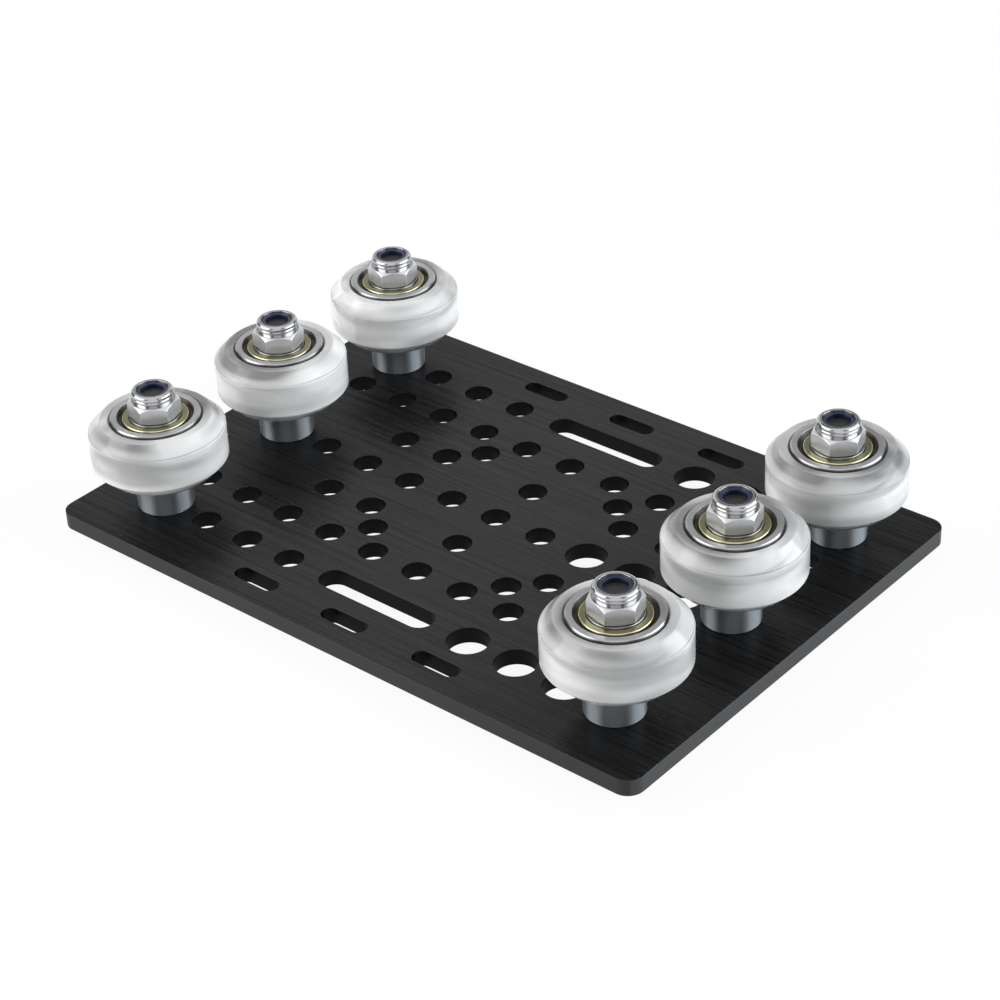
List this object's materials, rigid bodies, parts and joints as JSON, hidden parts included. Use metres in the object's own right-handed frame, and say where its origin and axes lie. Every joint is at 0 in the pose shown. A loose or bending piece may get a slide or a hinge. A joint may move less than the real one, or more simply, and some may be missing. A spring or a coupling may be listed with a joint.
{
  "type": "gantry plate",
  "caption": "Drilled black gantry plate carrying clear V-wheels on shielded ball bearings, held on spacers, which run along the grooved edges of a rail.",
  "frame": {"origin": "middle of the plate in X and Y, at the level of the six screw heads that the part stands on", "axes": "+X along the plate's 127 mm side, from the plain spacers to the eccentric ones; +Y across it, the way the wheels roll; +Z from the plate towards the wheels"},
  "size_m": [0.127, 0.088, 0.0288],
  "materials": {
    "black_anodised_plate": "black anodised, finely brushed along X",
    "clear_polycarbonate": "clear, lightly frosted",
    "bearing_steel": "ground and polished",
    "ball_steel": "polished",
    "cage_steel": "pressed sheet",
    "yellow_zinc": "yellow passivated sheet",
    "spacer_aluminium": "turned, smooth",
    "shim_steel": "ground washer",
    "dark_screw_steel": "black oxide",
    "nut_zinc": "bright zinc",
    "blue_nylon": "dark blue nylon"
  },
  "bodies": {
    "carriage": {"gantry_plate": "black_anodised_plate", "bearing_shims": "shim_steel", "spacer_shims": "shim_steel", "nylon_inserts": "blue_nylon", "bearing_inner_rings_left_front": "bearing_steel", "plain_spacer_left_front": "spacer_aluminium", "axle_screw_left_front": "dark_screw_steel", "lock_nut_left_front": "nut_zinc", "bearing_inner_rings_left_middle": "bearing_steel", "plain_spacer_left_middle": "spacer_aluminium", "axle_screw_left_middle": "dark_screw_steel", "lock_nut_left_middle": "nut_zinc", "bearing_inner_rings_left_rear": "bearing_steel", "plain_spacer_left_rear": "spacer_aluminium", "axle_screw_left_rear": "dark_screw_steel", "lock_nut_left_rear": "nut_zinc", "bearing_inner_rings_right_front": "bearing_steel", "eccentric_spacer_right_front": "spacer_aluminium", "axle_screw_right_front": "dark_screw_steel", "lock_nut_right_front": "nut_zinc", "bearing_inner_rings_right_middle": "bearing_steel", "eccentric_spacer_right_middle": "spacer_aluminium", "axle_screw_right_middle": "dark_screw_steel", "lock_nut_right_middle": "nut_zinc", "bearing_inner_rings_right_rear": "bearing_steel", "eccentric_spacer_right_rear": "spacer_aluminium", "axle_screw_right_rear": "dark_screw_steel", "lock_nut_right_rear": "nut_zinc"},
    "wheel_left_front": {"wheel_tyre_left_front": "clear_polycarbonate", "bearing_outer_rings_left_front": "bearing_steel", "bearing_shields_left_front": "yellow_zinc"},
    "ball_set_left_front": {"bearing_balls_left_front": "ball_steel", "bearing_cages_left_front": "cage_steel"},
    "wheel_left_middle": {"wheel_tyre_left_middle": "clear_polycarbonate", "bearing_outer_rings_left_middle": "bearing_steel", "bearing_shields_left_middle": "yellow_zinc"},
    "ball_set_left_middle": {"bearing_balls_left_middle": "ball_steel", "bearing_cages_left_middle": "cage_steel"},
    "wheel_left_rear": {"wheel_tyre_left_rear": "clear_polycarbonate", "bearing_outer_rings_left_rear": "bearing_steel", "bearing_shields_left_rear": "yellow_zinc"},
    "ball_set_left_rear": {"bearing_balls_left_rear": "ball_steel", "bearing_cages_left_rear": "cage_steel"},
    "wheel_right_front": {"wheel_tyre_right_front": "clear_polycarbonate", "bearing_outer_rings_right_front": "bearing_steel", "bearing_shields_right_front": "yellow_zinc"},
    "ball_set_right_front": {"bearing_balls_right_front": "ball_steel", "bearing_cages_right_front": "cage_steel"},
    "wheel_right_middle": {"wheel_tyre_right_middle": "clear_polycarbonate", "bearing_outer_rings_right_middle": "bearing_steel", "bearing_shields_right_middle": "yellow_zinc"},
    "ball_set_right_middle": {"bearing_balls_right_middle": "ball_steel", "bearing_cages_right_middle": "cage_steel"},
    "wheel_right_rear": {"wheel_tyre_right_rear": "clear_polycarbonate", "bearing_outer_rings_right_rear": "bearing_steel", "bearing_shields_right_rear": "yellow_zinc"},
    "ball_set_right_rear": {"bearing_balls_right_rear": "ball_steel", "bearing_cages_right_rear": "cage_steel"}
  },
  "joints": [
    {"name": "wheel_spin_left_front", "type": "hinge", "parent": "carriage", "child": "wheel_left_front", "pos_m": [-0.05, -0.0306, 0.01825], "axis": [0, 0, 1], "continuous": true},
    {"name": "ball_roll_left_front", "type": "hinge", "parent": "carriage", "child": "ball_set_left_front", "pos_m": [-0.05, -0.0306, 0.01825], "axis": [0, 0, 1], "continuous": true},
    {"name": "wheel_spin_left_middle", "type": "hinge", "parent": "carriage", "child": "wheel_left_middle", "pos_m": [-0.05, 0, 0.01825], "axis": [0, 0, 1], "continuous": true},
    {"name": "ball_roll_left_middle", "type": "hinge", "parent": "carriage", "child": "ball_set_left_middle", "pos_m": [-0.05, 0, 0.01825], "axis": [0, 0, 1], "continuous": true},
    {"name": "wheel_spin_left_rear", "type": "hinge", "parent": "carriage", "child": "wheel_left_rear", "pos_m": [-0.05, 0.0306, 0.01825], "axis": [0, 0, 1], "continuous": true},
    {"name": "ball_roll_left_rear", "type": "hinge", "parent": "carriage", "child": "ball_set_left_rear", "pos_m": [-0.05, 0.0306, 0.01825], "axis": [0, 0, 1], "continuous": true},
    {"name": "wheel_spin_right_front", "type": "hinge", "parent": "carriage", "child": "wheel_right_front", "pos_m": [0.05, -0.02981, 0.01825], "axis": [0, 0, 1], "continuous": true},
    {"name": "ball_roll_right_front", "type": "hinge", "parent": "carriage", "child": "ball_set_right_front", "pos_m": [0.05, -0.02981, 0.01825], "axis": [0, 0, 1], "continuous": true},
    {"name": "wheel_spin_right_middle", "type": "hinge", "parent": "carriage", "child": "wheel_right_middle", "pos_m": [0.05, 0.00079, 0.01825], "axis": [0, 0, 1], "continuous": true},
    {"name": "ball_roll_right_middle", "type": "hinge", "parent": "carriage", "child": "ball_set_right_middle", "pos_m": [0.05, 0.00079, 0.01825], "axis": [0, 0, 1], "continuous": true},
    {"name": "wheel_spin_right_rear", "type": "hinge", "parent": "carriage", "child": "wheel_right_rear", "pos_m": [0.05, 0.02981, 0.01825], "axis": [0, 0, 1], "continuous": true},
    {"name": "ball_roll_right_rear", "type": "hinge", "parent": "carriage", "child": "ball_set_right_rear", "pos_m": [0.05, 0.02981, 0.01825], "axis": [0, 0, 1], "continuous": true}
  ],
  "couplings": [
    {"joint": "ball_roll_left_front", "follows": "wheel_spin_left_front", "ratio": 0.61333},
    {"joint": "ball_roll_left_middle", "follows": "wheel_spin_left_middle", "ratio": 0.61333},
    {"joint": "ball_roll_left_rear", "follows": "wheel_spin_left_rear", "ratio": 0.61333},
    {"joint": "ball_roll_right_front", "follows": "wheel_spin_right_front", "ratio": 0.61333},
    {"joint": "ball_roll_right_middle", "follows": "wheel_spin_right_middle", "ratio": 0.61333},
    {"joint": "ball_roll_right_rear", "follows": "wheel_spin_right_rear", "ratio": 0.61333}
  ]
}
